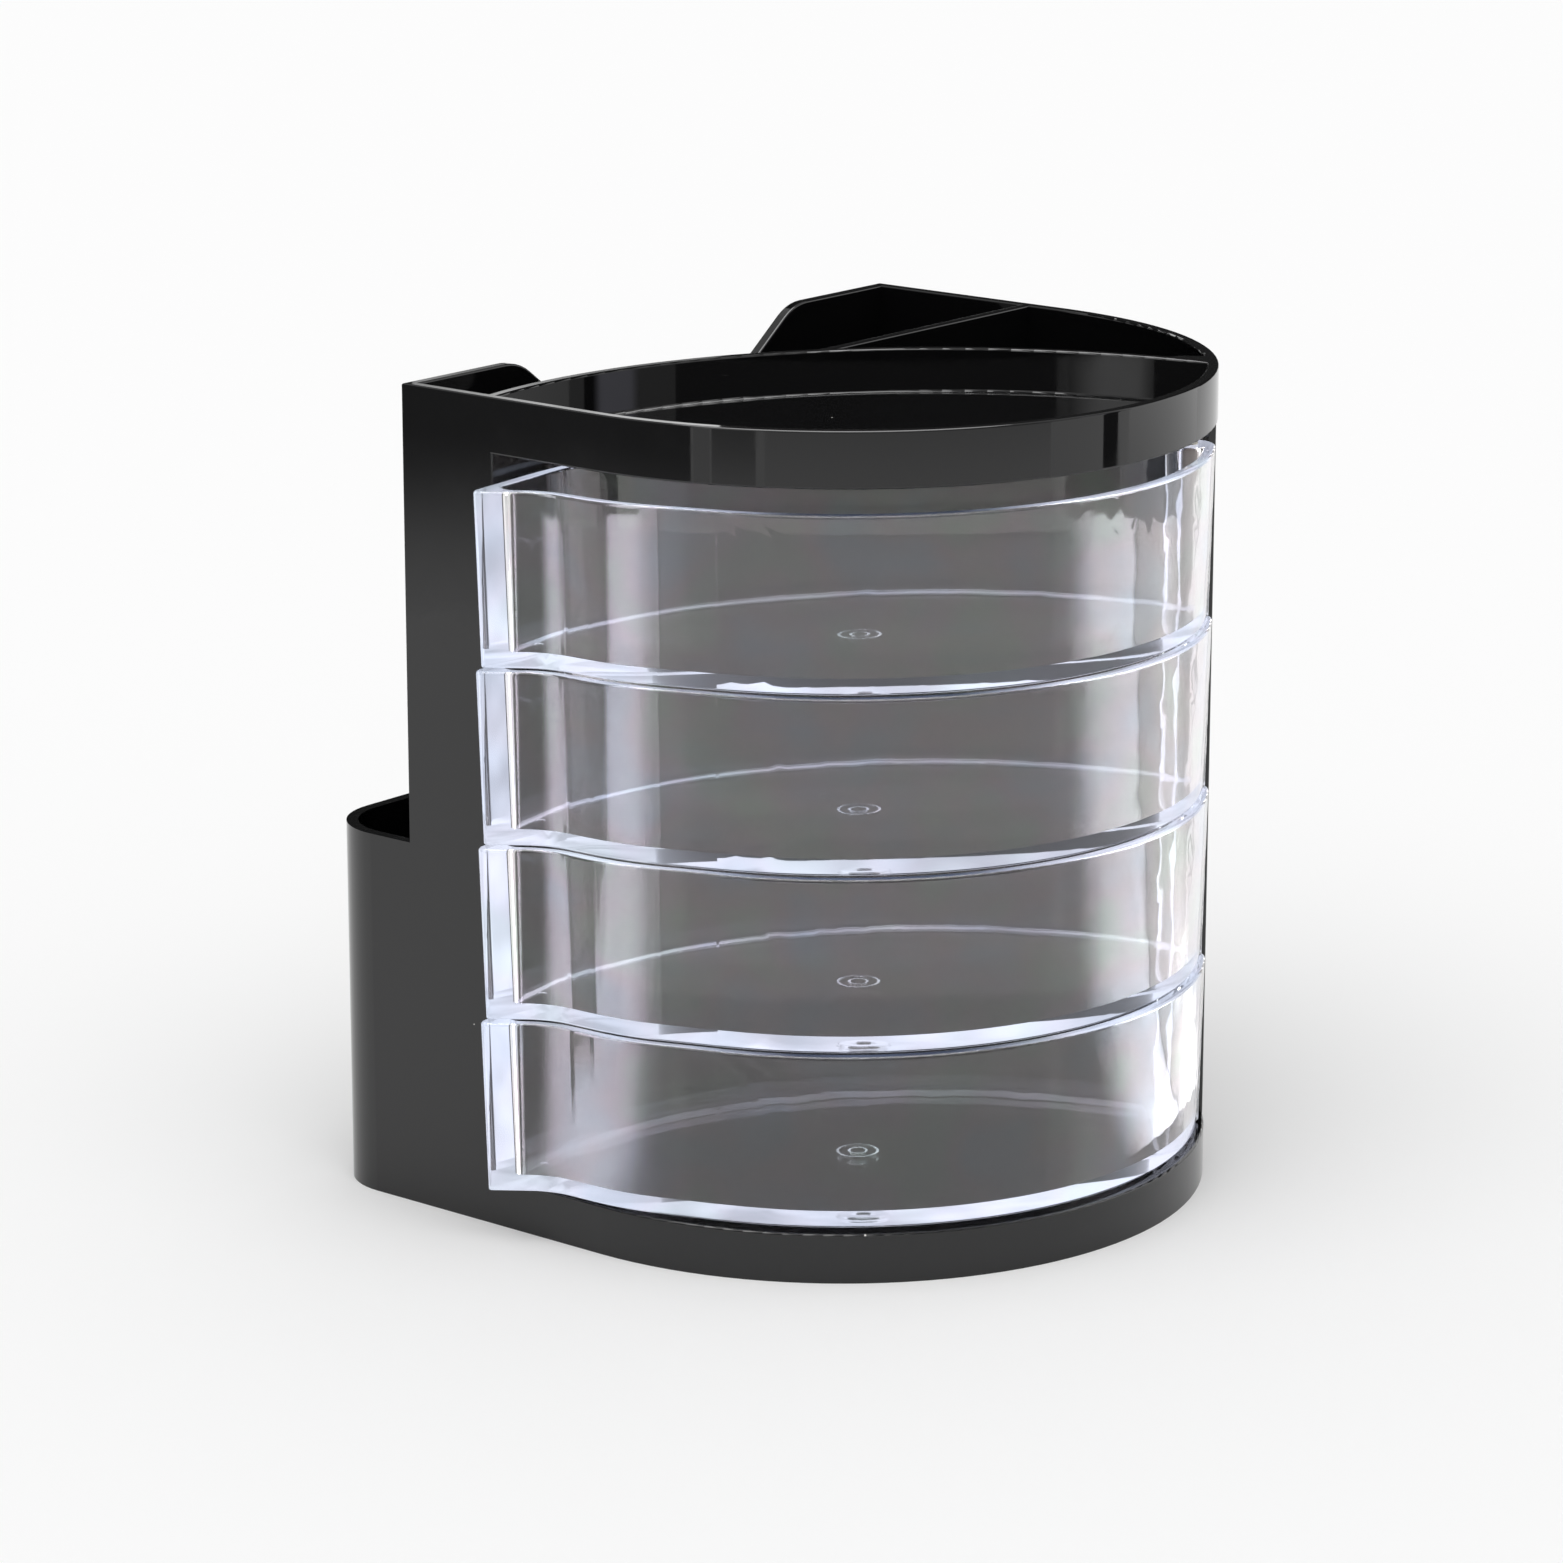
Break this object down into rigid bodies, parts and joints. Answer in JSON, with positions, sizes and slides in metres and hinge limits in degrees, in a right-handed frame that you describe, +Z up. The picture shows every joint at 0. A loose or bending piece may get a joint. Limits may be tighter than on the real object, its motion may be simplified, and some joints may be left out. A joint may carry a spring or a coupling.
{
  "type": "desk organizer with swing-out drawers",
  "caption": "D-shaped black desk organizer with a shallow top tray, open pen wells, a rear memo pocket and a stack of clear leaf-shaped drawers that swing out about one upright rod.",
  "frame": {"origin": "on the flat underside, at the centre of the round front", "axes": "+X to the right as seen from the front, +Y towards the rear pocket, +Z up"},
  "size_m": [0.1598, 0.151, 0.1682],
  "materials": {
    "black_moulding": "glossy black polystyrene",
    "clear_moulding": "clear polystyrene",
    "rod_plastic": "natural nylon"
  },
  "bodies": {
    "body": {"housing": "black_moulding", "base_plate": "black_moulding", "pivot_rod": "rod_plastic", "rod_cap": "black_moulding"},
    "drawer_1_body": {"drawer_1": "clear_moulding"},
    "drawer_2_body": {"drawer_2": "clear_moulding"},
    "drawer_3_body": {"drawer_3": "clear_moulding"},
    "drawer_4_body": {"drawer_4": "clear_moulding"}
  },
  "joints": [
    {"name": "drawer_1_swing", "type": "hinge", "parent": "body", "child": "drawer_1_body", "pos_m": [0.03972, -0.05715, 0], "axis": [0, 0, 1], "range_deg": [0, 90]},
    {"name": "drawer_2_swing", "type": "hinge", "parent": "body", "child": "drawer_2_body", "pos_m": [0.03972, -0.05715, 0], "axis": [0, 0, 1], "range_deg": [0, 90]},
    {"name": "drawer_3_swing", "type": "hinge", "parent": "body", "child": "drawer_3_body", "pos_m": [0.03972, -0.05715, 0], "axis": [0, 0, 1], "range_deg": [0, 90]},
    {"name": "drawer_4_swing", "type": "hinge", "parent": "body", "child": "drawer_4_body", "pos_m": [0.03972, -0.05715, 0], "axis": [0, 0, 1], "range_deg": [0, 90]}
  ]
}
